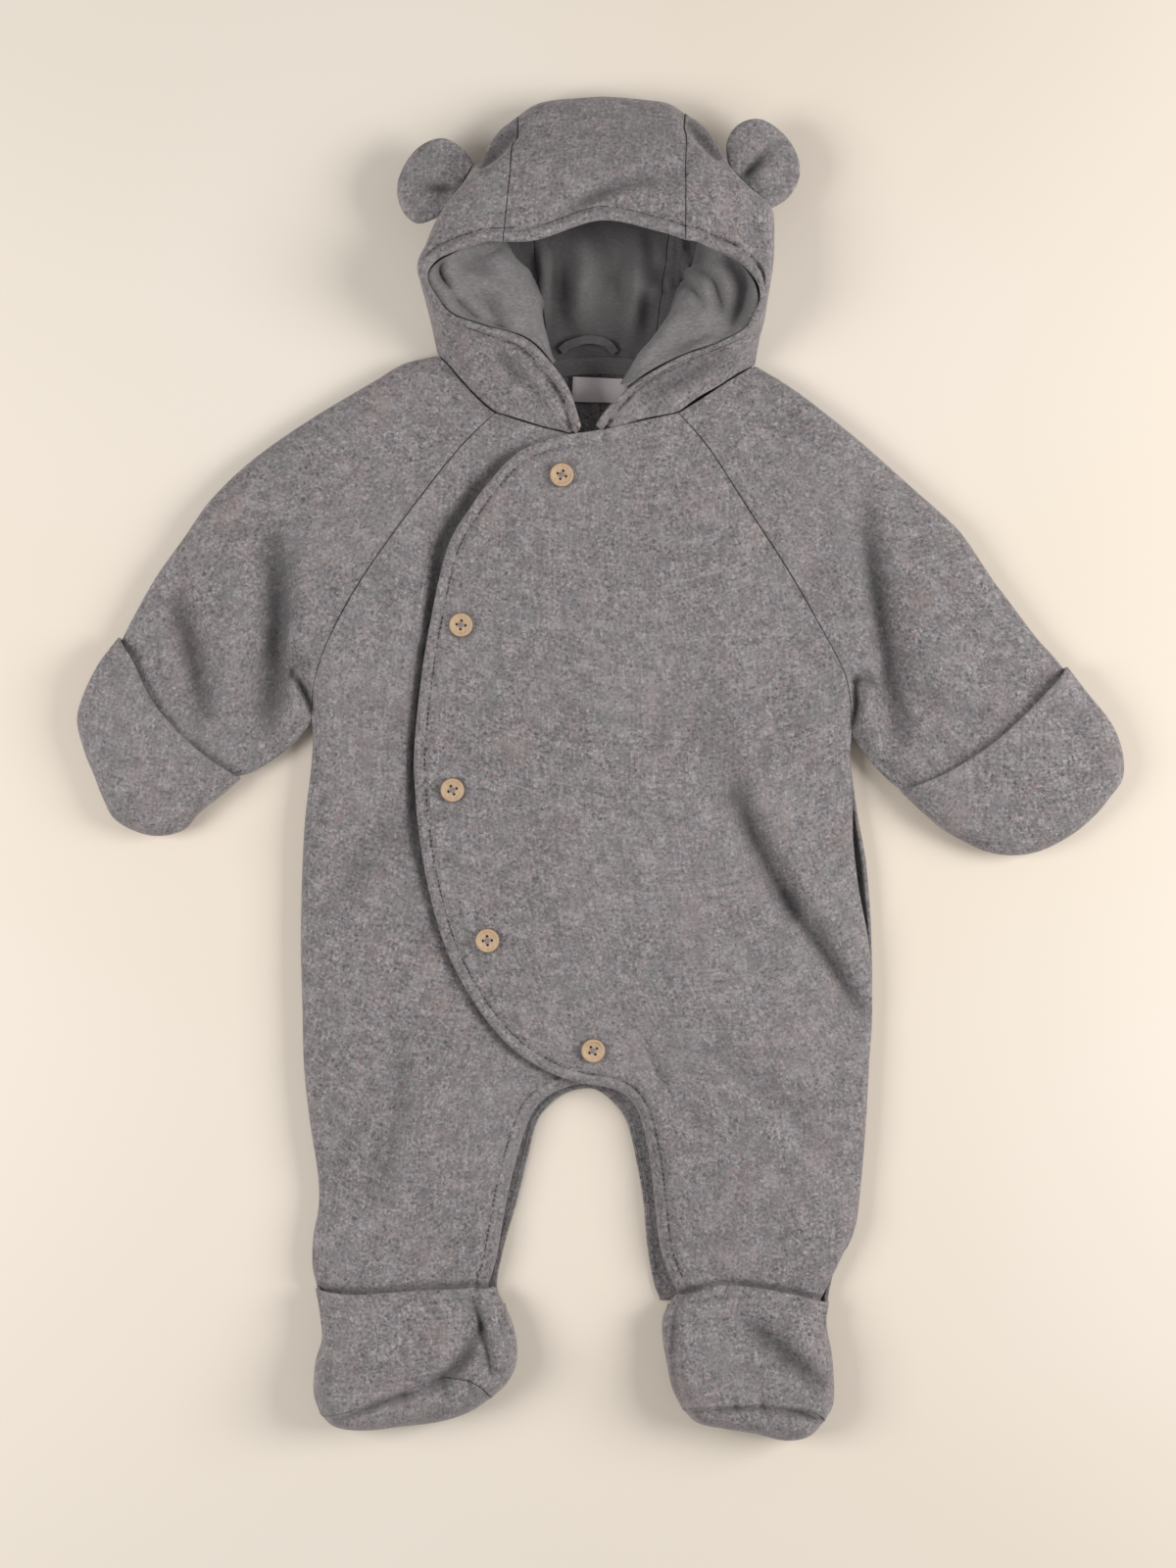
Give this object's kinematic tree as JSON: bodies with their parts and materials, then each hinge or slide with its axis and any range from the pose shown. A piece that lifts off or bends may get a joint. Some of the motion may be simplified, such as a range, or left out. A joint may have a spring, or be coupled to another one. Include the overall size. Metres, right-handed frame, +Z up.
{
  "type": "baby snowsuit",
  "caption": "Hooded baby snowsuit in grey felted wool with round ears, fold-over mittens and feet and a curved buttoned front, laid flat on its back.",
  "frame": {"origin": "middle of the garment's outline, on the surface it lies on", "axes": "+Y from the feet to the hood, +X to the wearer's left, +Z up out of the garment's front"},
  "size_m": [0.6398, 0.821, 0.0519],
  "materials": {
    "wool": "matte felted grey melange wool",
    "jersey": "matte grey melange jersey",
    "satin": "soft pale woven tape",
    "wood": "pale, fine grained, oiled"
  },
  "bodies": {
    "root": {"back": "wool", "front_left": "wool", "front_right": "wool", "sleeve_left": "wool", "sleeve_right": "wool", "mitten_left": "wool", "mitten_right": "wool", "foot_upper_left": "wool", "foot_upper_right": "wool", "foot_sole_left": "wool", "foot_sole_right": "wool", "hood_centre": "wool", "hood_side_left": "wool", "hood_side_right": "wool", "ear_left": "wool", "ear_right": "wool", "hood_lining_centre": "jersey", "hood_lining_left": "jersey", "hood_lining_right": "jersey", "neck_band": "jersey", "hanger_loop": "jersey", "neck_label": "satin", "button_1": "wood", "button_2": "wood", "button_3": "wood", "button_4": "wood", "button_5": "wood"}
  },
  "joints": []
}
